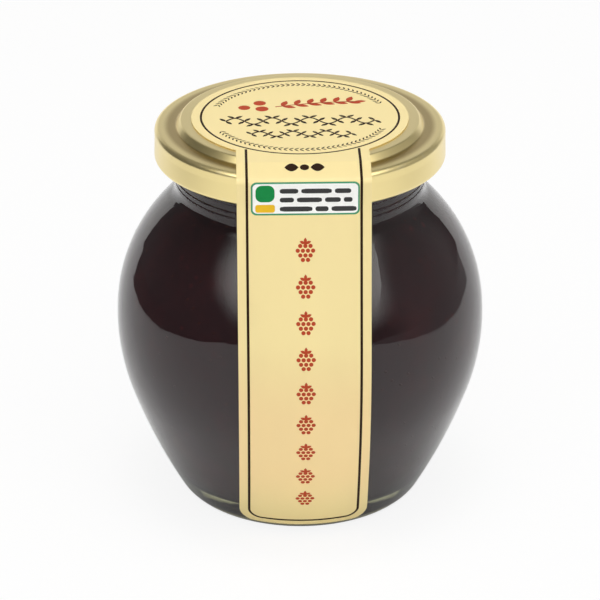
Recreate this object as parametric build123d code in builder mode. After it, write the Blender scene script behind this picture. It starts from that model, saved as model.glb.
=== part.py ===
from build123d import *
from math import acos, asin, atan2, degrees, radians, sin, sqrt, tan
import os

# A pot-bellied glass jar of jam with a gold twist lid and one paper label.
# Millimetres. The origin is the centre of the base on the standing surface,
# +Z runs up the jar's axis and -Y is the front, where the label hangs.

# --- Glass, outside: arcs tangent to one another, from the foot to the neck ---
foot_radius = 19.98       # outer edge of the ring that the jar stands on
foot_width = 1.70         # width of that ring
push_up = 1.30            # rise of the dished underside inside the ring
heel_round = 5.18
heel_turn = 60.73
flank_round = 124.30
flank_turn = 10.16
belly_round = 42.72
belly_turn = 24.75
shoulder_round = 32.11
neck_radius = 24.00
neck_height = 13.20       # from the end of the shoulder to the mouth
neck_fillet = 3.20        # hollow curve between the shoulder and the neck
bead_below_mouth = 7.60   # fine ring round the neck
bead_proud = 0.30
bead_width = 1.30

# --- Glass, inside ---
wall = 3.00
base_thickness = 5.80
inner_heel_round = 7.00

# --- Finish: the thicker band at the mouth, inside the lid ---
finish_depth = 4.00
finish_proud = 1.80
lip_round = 0.60

# --- Jam ---
headspace = 5.00          # from the jam's surface up to the mouth

# --- Lid: one pressed sheet with a stepped-up panel and a rolled hem ---
sheet = 0.30
skirt_depth = 6.15        # from the top of the rim down to the hem's lowest edge
skirt_clearance = 1.85    # between the finish and the inside of the skirt
rim_round = 0.90
rim_width = 4.17          # from the foot of the step out to the skirt
step_rise = 1.30
step_run = 0.90
step_round = 0.45
hem_radius = 0.70
hem_proud = 0.10          # how far the hem stands out from the skirt

# --- Label: one sheet of paper, a disc on the lid that runs into a strip ---
paper = 0.15
glue_line = 0.05
disc_margin = 2.10        # panel left bare round the disc
strip_width = 24.80
strip_bottom = 2.20       # height of its lower edge above the standing surface
strip_corner = 3.00
label_turn = 1.60         # degrees round the axis, towards +X

# --- Sizes that follow from those above ---
turns = (heel_turn, flank_turn, belly_turn)
rounds = (heel_round, flank_round, belly_round)


def body_arcs(lift=0.0):
    """Draw the heel, flank, belly and shoulder, lift clear of the glass, up to the neck."""
    arcs = [Line((0, -lift), (foot_radius, -lift))]
    for radius, turn in zip(rounds, turns):
        arcs.append(JernArc(arcs[-1] @ 1, arcs[-1] % 1, radius + lift, turn))
    slope = arcs[-1] % 1
    reach = shoulder_round + lift
    centre = (arcs[-1] @ 1).X - reach * slope.Y
    level_turn = 180 - degrees(asin((neck_radius + lift - centre) / reach))
    arcs.append(JernArc(arcs[-1] @ 1, slope, reach, level_turn - sum(turns)))
    return arcs[1:]


with BuildLine() as body_line:
    heel, flank, belly, shoulder = body_arcs()

neck_foot = (shoulder @ 1).Y
mouth = neck_foot + neck_height
finish_radius = neck_radius + finish_proud
bore_radius = neck_radius - wall
jam_level = mouth - headspace
lid_radius = finish_radius + skirt_clearance + sheet
rim_top = mouth + sheet
panel_top = rim_top + step_rise
step_foot = lid_radius - rim_width
panel_radius = step_foot - step_run
skirt_radius = lid_radius - hem_proud
hem_centre = Vector(lid_radius - hem_radius, rim_top - skirt_depth + hem_radius)
shoulder_centre = shoulder.center_point
disc_radius = panel_radius - disc_margin
step_turn = atan2(step_rise, step_run)
panel_corner = Vector(panel_radius - step_round * tan(step_turn / 2), panel_top - step_round)
rim_corner = Vector(skirt_radius - rim_round, rim_top - rim_round)
# Circles that the paper bends over on the lid, each a centre and a radius.
lid_edges = [
    (panel_corner, step_round),
    (rim_corner, rim_round + hem_proud),
    (hem_centre, hem_radius),
]


def glass_radius_at(height, lift):
    """Radius of the shoulder at a height, lift clear of the glass."""
    rise = height - shoulder_centre.Y
    return shoulder_centre.X + sqrt((shoulder_round + lift) ** 2 - rise**2)


def vessel_section(top, lift=0.0):
    """Half section of the plain vessel, filled solid and grown by lift, its neck up to top."""
    with BuildSketch() as section:
        with BuildLine():
            end = body_arcs(lift)[-1] @ 1
            Polyline(end, (end.X, top), (0, top), (0, -lift))
        make_face()
        fillet(section.vertices().sort_by_distance(end)[0], neck_fillet)
    return section.sketch_local


def cavity_section(top):
    """Half section of the space inside the glass, one wall in from the outside, up to top."""
    with BuildSketch() as section:
        add(vessel_section(mouth + 2 * wall))
        mirror(about=Plane.YZ)
        offset(amount=-wall, mode=Mode.REPLACE)
        with Locations((0, base_thickness)):
            Rectangle(2 * lid_radius, top - base_thickness, align=(Align.MIN, Align.MIN),
                      mode=Mode.INTERSECT)
        lowest = section.vertices().group_by(Axis.Y)[0]
        fillet(lowest.sort_by(Axis.X)[-1], inner_heel_round)
    return section.sketch_local


def lid_section():
    """Half section of the lid's sheet, from the axis out over the step and down the skirt."""
    with BuildSketch() as section:
        with BuildLine():
            outside = FilletPolyline(
                (0, panel_top), (panel_radius, panel_top), (step_foot, rim_top),
                (skirt_radius, rim_top), (skirt_radius, hem_centre.Y),
                radius=[step_round, step_round, rim_round],
            )
            offset(outside, amount=sheet, side=Side.RIGHT)
        make_face()
        with Locations(hem_centre):
            Circle(hem_radius)
    return section.sketch_local


def tangent_normal(first, second):
    """Outward normal, in degrees, of the line laid over two circles from first to second."""
    (start, start_radius), (end, end_radius) = first, second
    gap = end - start
    return degrees(atan2(gap.Y, gap.X) + acos((start_radius - end_radius) / gap.length))


def taut_path(circles, lift):
    """Draw paper pulled over the circles, lift clear of them, from behind the disc to the last."""
    normals = [90] + [tangent_normal(*pair) for pair in zip(circles, circles[1:])]
    reached = Vector(-disc_radius, panel_top + lift)
    for (centre, radius), start, end in zip(circles, normals, normals[1:]):
        arc = CenterArc(centre, radius + lift, start, end - start)
        Line(reached, arc @ 0)
        reached = arc @ 1
    hem, radius = circles[-1]
    return Line(reached, hem + Vector(radius + lift, 0)) @ 1


with BuildPart() as jar:
    with BuildSketch(Plane.XZ):
        add(vessel_section(mouth))
        with Locations((0, mouth - finish_depth)):
            Rectangle(finish_radius, finish_depth, align=(Align.MIN, Align.MIN))
        with Locations((neck_radius - bead_width / 2 + bead_proud, mouth - bead_below_mouth)):
            Circle(bead_width / 2)
    revolve(axis=Axis.Z)
    with BuildSketch(Plane.XZ):
        add(cavity_section(mouth + wall))
    revolve(axis=Axis.Z, mode=Mode.SUBTRACT)
    with BuildSketch(Plane.XZ):
        with BuildLine():
            dish_edge = foot_radius - foot_width
            dish = ThreePointArc((dish_edge, 0), (0, push_up), (-dish_edge, 0))
            Line(dish @ 1, dish @ 0)
        make_face()
        split(bisect_by=Plane.YZ)
    revolve(axis=Axis.Z, mode=Mode.SUBTRACT)
    fillet(jar.edges().filter_by(GeomType.CIRCLE).group_by(Axis.Z)[-1], lip_round)
jar.part.label = "jar"

with BuildPart() as jam:
    with BuildSketch(Plane.XZ):
        add(cavity_section(jam_level))
    revolve(axis=Axis.Z)
jam.part.label = "jam"

with BuildPart() as lid:
    with BuildSketch(Plane.XZ):
        add(lid_section())
    revolve(axis=Axis.Z)
lid.part.label = "lid"

# The paper is one sheet. It lies on the panel, is pulled straight across over the panel's edge
# and the rim, hangs from the hem to the glass and follows the glass down to the heel.
face_lift = glue_line + paper
front = Plane.XZ.rotated((0, 0, label_turn))
side = Plane((0, 0, 0), x_dir=(0, -1, 0), z_dir=(-1, 0, 0)).rotated((0, 0, label_turn))
hang_top = Plane.XY.offset(hem_centre.Y).rotated((0, 0, label_turn))
hang_normal = radians(tangent_normal((hem_centre, hem_radius), (shoulder_centre, shoulder_round)))
contact_height = shoulder_centre.Y + (shoulder_round + glue_line) * sin(hang_normal)
hang_foot = Plane.XY.offset(contact_height).rotated((0, 0, label_turn))

with BuildPart() as cutter:
    with BuildSketch(Plane.XY.offset(mouth)):
        Circle(disc_radius)
    extrude(amount=panel_top)
    with BuildSketch(front) as strip:
        with Locations((0, strip_bottom)):
            Rectangle(strip_width, 2 * panel_top, align=(Align.CENTER, Align.MIN))
        fillet(strip.vertices().group_by(Axis.Z)[0], strip_corner)
    extrude(amount=2 * (shoulder @ 0).X)

with BuildPart() as paper_on_lid:
    with BuildSketch(side):
        with BuildLine():
            back_end = taut_path(lid_edges, glue_line)
            face_end = taut_path(lid_edges, face_lift)
            Line(back_end, face_end)
            Line((-disc_radius, panel_top + glue_line), (-disc_radius, panel_top + face_lift))
        make_face()
    extrude(amount=disc_radius, both=True)
    add(cutter.part, mode=Mode.INTERSECT)

with BuildPart() as paper_on_glass:
    with BuildSketch(front):
        add(vessel_section(mouth, face_lift))
        add(vessel_section(mouth, glue_line), mode=Mode.SUBTRACT)
    revolve(axis=Axis.Z)
    add(cutter.part, mode=Mode.INTERSECT)
    split(bisect_by=Plane.XY.offset(contact_height), keep=Keep.BOTTOM)

with BuildPart() as label:
    with BuildSketch(hang_top):
        with Locations((0, -lid_radius - glue_line)):
            Rectangle(strip_width, paper, align=(Align.CENTER, Align.MAX))
    with BuildSketch(hang_foot):
        Circle(glass_radius_at(contact_height, face_lift))
        Circle(glass_radius_at(contact_height, glue_line), mode=Mode.SUBTRACT)
        Rectangle(strip_width, 2 * lid_radius, align=(Align.CENTER, Align.MAX),
                  mode=Mode.INTERSECT)
    loft()
    add(paper_on_lid.part)
    add(paper_on_glass.part)
label.part.label = "label"

os.makedirs("parts", exist_ok=True)
for piece in (jar, jam, lid, label):
    export_step(piece.part, "parts/" + piece.part.label + ".step")
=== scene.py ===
import math

import bpy
from bpy.props import FloatProperty, FloatVectorProperty, IntProperty, PointerProperty
from mathutils import Matrix, Vector


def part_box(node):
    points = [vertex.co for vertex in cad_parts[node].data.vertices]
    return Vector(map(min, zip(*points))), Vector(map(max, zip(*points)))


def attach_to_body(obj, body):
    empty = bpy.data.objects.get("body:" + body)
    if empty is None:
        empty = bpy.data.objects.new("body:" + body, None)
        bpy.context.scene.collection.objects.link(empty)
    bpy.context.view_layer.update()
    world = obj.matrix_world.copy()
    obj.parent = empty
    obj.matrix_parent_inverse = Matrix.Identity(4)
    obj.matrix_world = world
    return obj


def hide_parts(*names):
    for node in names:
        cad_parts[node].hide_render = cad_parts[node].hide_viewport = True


bl_info = {
    "name": "Jam Jar Maker",
    "version": (1, 0, 0),
    "blender": (4, 5, 0),
    "location": "3D View > Sidebar > Jam Jar",
    "description": "Builds a pot-bellied jar of jam with a gold twist lid and a paper label",
    "category": "Add Mesh",
}

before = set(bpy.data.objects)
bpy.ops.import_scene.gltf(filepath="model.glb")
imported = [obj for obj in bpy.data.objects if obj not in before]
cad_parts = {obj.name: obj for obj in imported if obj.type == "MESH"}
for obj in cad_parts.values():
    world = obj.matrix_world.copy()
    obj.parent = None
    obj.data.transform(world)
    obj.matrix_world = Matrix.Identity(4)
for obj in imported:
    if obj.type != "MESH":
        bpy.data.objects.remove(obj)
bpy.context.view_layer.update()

MM = 0.001
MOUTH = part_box("jar")[1].z
JAM_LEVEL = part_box("jam")[1].z
LID_LOW, LID_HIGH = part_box("lid")
NO_DISTANCE = 1e-7  # points closer than this are one point


# ---------------------------------------------------------------------------
# Sizes and colours
# ---------------------------------------------------------------------------


def length(name, description, millimetres):
    """A length property with its default in millimetres."""
    return FloatProperty(name=name, description=description, default=millimetres * MM,
                         min=0.0, unit="LENGTH", precision=5)


def angle(name, description, degrees):
    """An angle property with its default in degrees."""
    return FloatProperty(name=name, description=description, default=math.radians(degrees),
                         subtype="ANGLE")


def colour(name, description, red, green, blue):
    """A colour property, given as a painter's 0 to 255 screen values."""
    return FloatVectorProperty(name=name, description=description, subtype="COLOR", size=3,
                               min=0.0, max=1.0, default=[linear(v) for v in (red, green, blue)])


def strength(name, description, default):
    """A light's strength."""
    return FloatProperty(name=name, description=description, default=default, min=0.0)


def segments(piece, default):
    """How many steps a turned piece has round it."""
    return IntProperty(name="Segments", description="Steps round the " + piece,
                       default=default, min=12)


def linear(value):
    """The light that a screen value from 0 to 255 stands for."""
    share = value / 255
    return share / 12.92 if share <= 0.04045 else ((share + 0.055) / 1.055) ** 2.4


class GlassSizes(bpy.types.PropertyGroup):
    """Outside and inside of the glass jar"""

    foot_radius: length("Foot radius", "Outer edge of the ring the jar stands on", 19.98)
    foot_width: length("Foot width", "Width of that ring", 1.70)
    push_up: length("Push-up", "Rise of the dished underside", 1.30)
    heel_round: length("Heel round", "Radius of the heel", 5.18)
    heel_turn: angle("Heel turn", "How far the heel turns", 60.73)
    flank_round: length("Flank round", "Radius of the flank", 124.30)
    flank_turn: angle("Flank turn", "How far the flank turns", 10.16)
    belly_round: length("Belly round", "Radius of the belly", 42.72)
    belly_turn: angle("Belly turn", "How far the belly turns", 24.75)
    shoulder_round: length("Shoulder round", "Radius of the shoulder", 32.11)
    neck_radius: length("Neck radius", "Radius of the neck", 24.00)
    neck_fillet: length("Neck fillet", "Hollow curve from the shoulder to the neck", 3.20)
    bead_below_mouth: length("Bead depth", "From the mouth to the ring on the neck", 7.60)
    bead_round: length("Bead round", "Radius of that ring", 0.65)
    bead_proud: length("Bead height", "How far that ring stands out", 0.30)
    finish_depth: length("Finish depth", "Height of the thick band at the mouth", 4.00)
    finish_proud: length("Finish height", "How far that band stands out", 1.80)
    lip_round: length("Lip round", "Rounding of the mouth's edges", 0.60)
    wall: length("Wall", "Thickness of the glass", 3.00)
    base_thickness: length("Base", "Height of the glass floor above the table", 5.80)
    inner_heel_round: length("Inner heel", "Rounding where the wall meets the floor", 7.00)
    tint: colour("Tint", "Colour of the glass", 243, 252, 246)
    thick_tint: colour("Thick tint", "Colour of the glass where it is thick, at the base",
                       118, 114, 74)
    steps_round: segments("jar", 224)


class JamSizes(bpy.types.PropertyGroup):
    """The jam and what is in it"""

    wetting: length("Wetting", "How far the jam reaches into the glass, so no air shows", 0.15)
    seed_size: length("Seed size", "Length of a berry seed", 1.5)
    seed_density: FloatProperty(name="Seeds", description="Seeds for each square metre of wall",
                                default=26000.0, min=0.0)
    deep: colour("Deep jam", "Colour of the jam", 50, 26, 31)
    juice: colour("Juice", "Colour of thin, clear jam", 65, 27, 32)
    fruit: colour("Fruit", "Colour of a piece of fruit", 118, 30, 36)
    seed: colour("Seed", "Colour of a seed", 72, 34, 30)
    steps_round: segments("jam", 160)


class LidSizes(bpy.types.PropertyGroup):
    """The pressed lid"""

    sheet: length("Sheet", "Thickness of the tinplate", 0.30)
    step_rise: length("Step rise", "Height of the step up to the panel", 1.30)
    step_run: length("Step run", "Width of the step", 0.90)
    step_round: length("Step round", "Rounding of the step's edges", 0.45)
    rim_width: length("Rim width", "From the foot of the step to the skirt", 4.17)
    rim_round: length("Rim round", "Rounding from the rim to the skirt", 0.90)
    hem_radius: length("Hem radius", "Radius of the rolled hem", 0.70)
    hem_proud: length("Hem height", "How far the hem stands out from the skirt", 0.10)
    gold: colour("Gold", "Colour of the gold lacquer", 254, 234, 167)
    worn: colour("Worn gold", "Colour where the lacquer is rubbed", 250, 238, 200)
    # Painted shade: this dark gold is painted where the hollow at the foot of the step lies in
    # shade and mirrors dark.
    painted_groove_shade: colour("Groove", "Colour of the thick lacquer at the foot of the step", 160, 132, 62)
    steps_round: segments("lid", 224)


class LabelSizes(bpy.types.PropertyGroup):
    """The paper label and its print"""

    paper: length("Paper", "Thickness of the paper", 0.15)
    glue: length("Glue", "Thickness of the glue line", 0.05)
    disc_radius: length("Disc radius", "Radius of the disc on the lid", 20.78)
    strip_width: length("Strip width", "Width of the strip", 24.80)
    strip_bottom: length("Strip bottom", "Height of the strip's lower edge", 2.20)
    strip_corner: length("Strip corner", "Rounding of the strip's lower corners", 3.00)
    turn: angle("Turn", "How far the strip stands round the jar's axis", 1.60)
    paper_bend: length("Paper bend", "Radius at which the paper bends at the hem", 9.00)
    ring_radius: length("Ring radius", "Radius of the printed ring", 18.93)
    ring_line: length("Ring line", "Width of the printed ring", 0.42)
    border_inset: length("Border inset", "From the strip's edge to the printed line", 1.87)
    border_line: length("Border line", "Width of the printed line", 0.48)
    ink: length("Ink", "Thickness of the ink", 0.014)
    cream: colour("Cream", "Colour of the paper", 247, 227, 164)
    # Painted light: the paper is painted this warmer cream low on the strip, for how light falls
    # there.
    painted_low_strip_light: colour("Warm cream", "Colour of the paper low on the strip", 251, 222, 162)
    line: colour("Line", "Dark brown ink", 44, 25, 11)
    rust: colour("Rust", "Rust red ink", 186, 70, 40)
    green: colour("Green", "Green ink", 24, 140, 72)
    frame_green: colour("Frame green", "Green ink of the panel's edge", 74, 152, 112)
    amber: colour("Amber", "Amber ink", 240, 192, 44)
    white: colour("White", "White ink of the panel", 255, 255, 253)
    grey: colour("Grey", "Dark grey ink", 62, 62, 62)


class StageSizes(bpy.types.PropertyGroup):
    """Camera, floor and light"""

    distance: length("Distance", "From the camera to what it looks at", 589.74)
    elevation: angle("Elevation", "How far the camera looks down", 25.117)
    aim_height: length("Aim height", "Height that the camera looks at", 38.86)
    key: strength("Key light", "Strength of the round front light", 1.30)
    top: strength("Top light", "Strength of the light over the jar", 12.0)
    side: strength("Side light", "Strength of the dim light on the right", 0.34)
    fill: strength("Fill", "Strength of the even room light", 0.26)
    surround: strength("Surround", "Brightness of the room in reflections", 0.12)


GROUPS = {
    "jar_glass": GlassSizes,
    "jar_jam": JamSizes,
    "jar_lid": LidSizes,
    "jar_label": LabelSizes,
    "jar_stage": StageSizes,
}


# ---------------------------------------------------------------------------
# Node trees
# ---------------------------------------------------------------------------


def operator_pair(operation):
    """The two methods of an operator: the number on its left, and the number on its right."""
    def plain(self, other):
        return self.nodes.math(operation, self, other)

    def reflected(self, other):
        return self.nodes.math(operation, other, self)

    return plain, reflected


class Number:
    """A number socket of a node tree. Arithmetic on it adds Math nodes to the tree."""

    def __init__(self, nodes, socket):
        self.nodes = nodes
        self.socket = socket

    __add__, __radd__ = operator_pair("ADD")
    __sub__, __rsub__ = operator_pair("SUBTRACT")
    __mul__, __rmul__ = operator_pair("MULTIPLY")
    __truediv__, __rtruediv__ = operator_pair("DIVIDE")
    __pow__, __rpow__ = operator_pair("POWER")
    __mod__, __rmod__ = operator_pair("FLOORED_MODULO")
    __lt__, __gt__ = operator_pair("LESS_THAN")

    def __abs__(self):
        return self.nodes.math("ABSOLUTE", self)


class Nodes:
    """Adds nodes to one tree."""

    def __init__(self, tree):
        self.tree = tree

    def add(self, kind, settings=None, inputs=None):
        """Adds a node: its settings first, then the values or links of its sockets."""
        node = self.tree.nodes.new(kind)
        for name, value in (settings or {}).items():
            setattr(node, name, value)
        for key, value in (inputs or {}).items():
            self.feed(node.inputs[key], value)
        return node

    def feed(self, socket, value):
        """Links a socket or sets its value."""
        if isinstance(value, Number):
            value = value.socket
        if isinstance(value, bpy.types.NodeSocket):
            self.tree.links.new(value, socket)
        else:
            socket.default_value = value

    def number(self, node, output=0):
        """A node's output as a number to reckon with."""
        return Number(self, node.outputs[output])

    def math(self, operation, *values):
        """The result of a Math node."""
        node = self.add("ShaderNodeMath", {"operation": operation}, dict(enumerate(values)))
        return self.number(node)

    def distance(self, x, y):
        """How far a point is from the middle."""
        return self.math("SQRT", x * x + y * y)

    def scaled(self, vector, factor):
        """A vector or a colour times a number."""
        return self.add("ShaderNodeVectorMath", {"operation": "SCALE"},
                        {0: vector, "Scale": factor}).outputs[0]

    def join(self, x, y, z):
        """A vector from three numbers."""
        return self.add("ShaderNodeCombineXYZ", None, {"X": x, "Y": y, "Z": z}).outputs[0]

    def split(self, vector):
        """The three numbers of a vector."""
        node = self.add("ShaderNodeSeparateXYZ", None, {0: vector})
        return [self.number(node, i) for i in range(3)]

    def blend(self, factor, first, second):
        """A colour between two colours."""
        node = self.add("ShaderNodeMix", {"data_type": "RGBA"}, {0: factor, 6: first, 7: second})
        return node.outputs[2]

    def between(self, value, low, high):
        """0 where value is under low, 1 where it is over high, and smooth in between."""
        node = self.add("ShaderNodeMapRange", {"interpolation_type": "SMOOTHSTEP"},
                        {"Value": value, "From Min": low, "From Max": high})
        return self.number(node)

    def ray(self, kind):
        """1 for rays of one kind, such as Camera or Glossy, and 0 for all others."""
        return self.number(self.add("ShaderNodeLightPath"), "Is " + kind + " Ray")


class Finish(Nodes):
    """The shader nodes of one material."""

    def __init__(self, name):
        self.material = bpy.data.materials.new(name)
        self.material.use_nodes = True
        super().__init__(self.material.node_tree)
        self.tree.nodes.clear()
        self.output = self.add("ShaderNodeOutputMaterial")
        self.place = self.add("ShaderNodeTexCoord").outputs["Object"]

    def noise(self, scale, detail=3.0, roughness=0.5, where=None, stretch=None):
        """Noise from about 0 to 1. Scale is in waves for each metre."""
        where = where or self.place
        if stretch:
            where = self.add("ShaderNodeMapping", None, {0: where, "Scale": stretch}).outputs[0]
        node = self.add("ShaderNodeTexNoise", None, {
            "Vector": where, "Scale": scale, "Detail": detail, "Roughness": roughness})
        return self.number(node)

    def cells(self, scale):
        """Distance to the nearest of scattered points."""
        node = self.add("ShaderNodeTexVoronoi", None, {"Vector": self.place, "Scale": scale})
        return self.number(node, "Distance")

    def bump(self, height, distance):
        """A normal pushed about by a height from 0 to 1 that stands for a distance."""
        return self.add("ShaderNodeBump", None, {
            "Height": height, "Distance": distance}).outputs[0]

    def shader(self, kind, **sockets):
        """A shader node, its socket names written with low lines."""
        inputs = {name.replace("_", " "): value for name, value in sockets.items()}
        return self.add("ShaderNode" + kind, None, inputs).outputs[0]

    def mix(self, factor, first, second):
        """The first shader where the factor is 0 and the second where it is 1."""
        return self.add("ShaderNodeMixShader", None, {0: factor, 1: first, 2: second}).outputs[0]

    def end(self, shader):
        """Wires the shader to the output and gives back the material."""
        self.feed(self.output.inputs["Surface"], shader)
        return self.material


class Tree(Nodes):
    """A Geometry Nodes tree with named inputs."""

    def __init__(self, name, **inputs):
        super().__init__(bpy.data.node_groups.new(name, "GeometryNodeTree"))
        face = self.tree.interface
        face.new_socket("Geometry", in_out="INPUT", socket_type="NodeSocketGeometry")
        face.new_socket("Geometry", in_out="OUTPUT", socket_type="NodeSocketGeometry")
        for label, kind in inputs.items():
            face.new_socket(label, in_out="INPUT", socket_type="NodeSocket" + kind)
        self.source = self.add("NodeGroupInput")
        self.output = self.add("NodeGroupOutput")

    def given(self, name):
        """One of the tree's inputs."""
        return self.source.outputs[name]

    def asked(self, name):
        """One of the tree's number inputs, to reckon with."""
        return Number(self, self.given(name))

    def stored(self, name):
        """A number that each point carries."""
        return Number(self, self.step("GeometryNodeInputNamedAttribute", {"data_type": "FLOAT"},
                                      {"Name": name}))

    def step(self, kind, settings=None, inputs=None):
        """Adds a node and gives back its first output."""
        return self.add(kind, settings, inputs).outputs[0]

    def copies(self, shape, **sockets):
        """A copy of the shape at each point that the tree is given."""
        return self.step("GeometryNodeInstanceOnPoints", None, {
            "Points": self.given("Geometry"), "Instance": shape, **sockets})

    def end(self, geometry):
        """Closes the tree: instances made real, then the material."""
        real = self.step("GeometryNodeRealizeInstances", None, {"Geometry": geometry})
        painted = self.step("GeometryNodeSetMaterial", None, {
            "Geometry": real, "Material": self.given("Material")})
        self.feed(self.output.inputs[0], painted)
        return self.tree


# ---------------------------------------------------------------------------
# Meshes
# ---------------------------------------------------------------------------


def put_in_scene(name, data):
    """A new object at the origin that shows a mesh or holds a camera."""
    piece = bpy.data.objects.new(name, data)
    bpy.context.scene.collection.objects.link(piece)
    return piece


def mesh_from(name, points, edges=(), faces=()):
    """A mesh from its points, edges and faces."""
    mesh = bpy.data.meshes.new(name)
    mesh.from_pydata(points, edges, faces)
    mesh.update()
    return mesh


def grow(name, mesh, tree, **values):
    """Runs a Geometry Nodes tree over a mesh and gives back the plain result as an object."""
    piece = put_in_scene(name, mesh)
    modifier = piece.modifiers.new("Maker", "NODES")
    modifier.node_group = tree
    for item in tree.interface.items_tree:
        if item.in_out == "INPUT" and item.name in values:
            modifier[item.identifier] = values[item.name]
    settle(piece, modifier)
    piece.data.name = name
    return piece


def settle(piece, modifier):
    """Gives a piece the mesh that its modifier makes, and takes the modifier off."""
    before = piece.data
    seen = piece.evaluated_get(bpy.context.evaluated_depsgraph_get())
    result = bpy.data.meshes.new_from_object(seen)
    piece.modifiers.remove(modifier)
    piece.data = result
    bpy.data.meshes.remove(before)


def smooth(mesh, degrees):
    """Smooth shading, with every edge sharper than the angle kept crisp."""
    mesh.shade_smooth()
    normals = [polygon.normal.copy() for polygon in mesh.polygons]
    beside = {}
    for polygon in mesh.polygons:
        for key in polygon.edge_keys:
            beside.setdefault(key, []).append(polygon.index)
    sharpest = math.cos(math.radians(degrees))
    for edge in mesh.edges:
        pair = beside.get(edge.key, ())
        if len(pair) == 2:
            edge.use_edge_sharp = normals[pair[0]].dot(normals[pair[1]]) < sharpest


def attach(piece, slot, *nodes):
    """Makes a piece part of the jar."""
    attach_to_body(piece, "root")
    if nodes:
        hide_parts(*nodes)


def sweep(centre, radius, start, end, step=math.radians(3.0)):
    """Points on an arc from one angle to another, both in radians."""
    longest = 0.8 * MM
    turn = end - start
    count = max(2, math.ceil(abs(turn) / step), math.ceil(abs(turn) * radius / longest))
    return [(centre[0] + radius * math.cos(start + turn * i / count),
             centre[1] + radius * math.sin(start + turn * i / count)) for i in range(count + 1)]


def clean(outline):
    """An outline with no point twice in a row."""
    kept = [outline[0]]
    for point in outline[1:]:
        if math.dist(point, kept[-1]) > NO_DISTANCE:
            kept.append(point)
    return kept


def held(outline):
    """The outline with a point close to each end of its straight runs, to keep them flat."""
    shortest_run, margin = 0.9 * MM, 0.06 * MM
    points = [outline[0]]
    for start, end in zip(outline, outline[1:]):
        span = math.dist(start, end)
        if span > shortest_run:
            for share in (margin / span, 1 - margin / span):
                points.append((start[0] + (end[0] - start[0]) * share,
                               start[1] + (end[1] - start[1]) * share))
        points.append(end)
    return points


def body_arcs(glass):
    """The arcs of the glass outside: each a centre, a radius, and its first and last angle."""
    arcs = []
    radius, height, heading = glass.foot_radius, 0.0, 0.0
    for bend, turn in ((glass.heel_round, glass.heel_turn), (glass.flank_round, glass.flank_turn),
                       (glass.belly_round, glass.belly_turn)):
        centre = (radius - bend * math.sin(heading), height + bend * math.cos(heading))
        first, heading = heading - math.pi / 2, heading + turn
        last = heading - math.pi / 2
        radius, height = centre[0] + bend * math.cos(last), centre[1] + bend * math.sin(last)
        arcs.append((centre, bend, first, last))
    bend = glass.shoulder_round
    centre = (radius - bend * math.sin(heading), height + bend * math.cos(heading))
    hollow_radius = glass.neck_radius + glass.neck_fillet
    reach = bend + glass.neck_fillet
    hollow_height = centre[1] + math.sqrt(reach**2 - (hollow_radius - centre[0]) ** 2)
    last = math.atan2(hollow_height - centre[1], hollow_radius - centre[0])
    arcs.append((centre, bend, heading - math.pi / 2, last))
    arcs.append(((hollow_radius, hollow_height), -glass.neck_fillet, last, 0.0))
    return arcs


def wall_outline(arcs, lift):
    """The outline of the wall from the foot to the neck, lifted off the glass outside."""
    outline = []
    for centre, bend, first, last in arcs:
        reach = bend + lift
        turned = 0.0 if reach > 0 else math.pi
        outline += sweep(centre, abs(reach), first + turned, last + turned)
    return outline


def inside_outline(glass, into_wall, top):
    """The outline of the space inside the glass, from the middle of its floor up to the top."""
    arcs = body_arcs(glass)
    inset = glass.wall - into_wall
    bend = glass.inner_heel_round + into_wall
    centre, flank, _, last = arcs[1]
    height = glass.base_thickness + glass.inner_heel_round
    reach = flank - inset - bend
    radius = centre[0] + math.sqrt(reach**2 - (height - centre[1]) ** 2)
    start = math.atan2(height - centre[1], radius - centre[0])
    outline = [(0.0, glass.base_thickness - into_wall)]
    outline += sweep((radius, height), bend, -math.pi / 2, start)
    arcs = [(centre, flank, start, last)] + arcs[2:]
    outline += wall_outline(arcs, -inset)
    outline.append((glass.neck_radius - inset, top))
    return outline


def outside_outline(glass, mouth):
    """The outline of the glass outside, from the middle of the dish up to the mouth."""
    dish_edge = glass.foot_radius - glass.foot_width
    dish_round = (dish_edge**2 + glass.push_up**2) / (2 * glass.push_up)
    dish_end = math.asin(dish_edge / dish_round)
    outline = sweep((0.0, glass.push_up - dish_round), dish_round,
                    math.pi / 2, math.pi / 2 - dish_end)
    outline += wall_outline(body_arcs(glass), 0.0)
    # Each ring on the neck: how far it sits below the widest one, and its size beside that.
    for below, share in ((3.0 * MM, 0.40), (1.9 * MM, 0.45), (0.0, 1.0)):
        bend, proud = glass.bead_round * share, glass.bead_proud * share
        middle = (glass.neck_radius - bend + proud, mouth - glass.bead_below_mouth - below)
        spread = math.acos((bend - proud) / bend)
        outline += sweep(middle, bend, -spread, spread, math.radians(12.0))
    band_radius = glass.neck_radius + glass.finish_proud
    band_foot = mouth - glass.finish_depth
    outline += [(glass.neck_radius, band_foot), (band_radius, band_foot)]
    lip = glass.lip_round
    outline += sweep((band_radius - lip, mouth - lip), lip, 0.0, math.pi / 2, math.radians(15.0))
    return outline


class LidPlaces:
    """Radii and heights on the lid, and the middles of its bends."""

    def __init__(self, lid):
        self.top, self.radius = LID_HIGH.z, LID_HIGH.x
        self.rim = self.top - lid.step_rise
        self.skirt = self.radius - lid.hem_proud
        self.step_foot = self.radius - lid.rim_width
        self.slope = math.atan2(lid.step_rise, lid.step_run)
        set_back = lid.step_round * math.tan(self.slope / 2)
        self.panel_bend = (self.step_foot - lid.step_run - set_back, self.top - lid.step_round)
        self.foot_bend = (self.step_foot + set_back, self.rim + lid.step_round)
        self.rim_bend = (self.skirt - lid.rim_round, self.rim - lid.rim_round)
        self.hem = (self.radius - lid.hem_radius, LID_LOW.z + lid.hem_radius)


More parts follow.
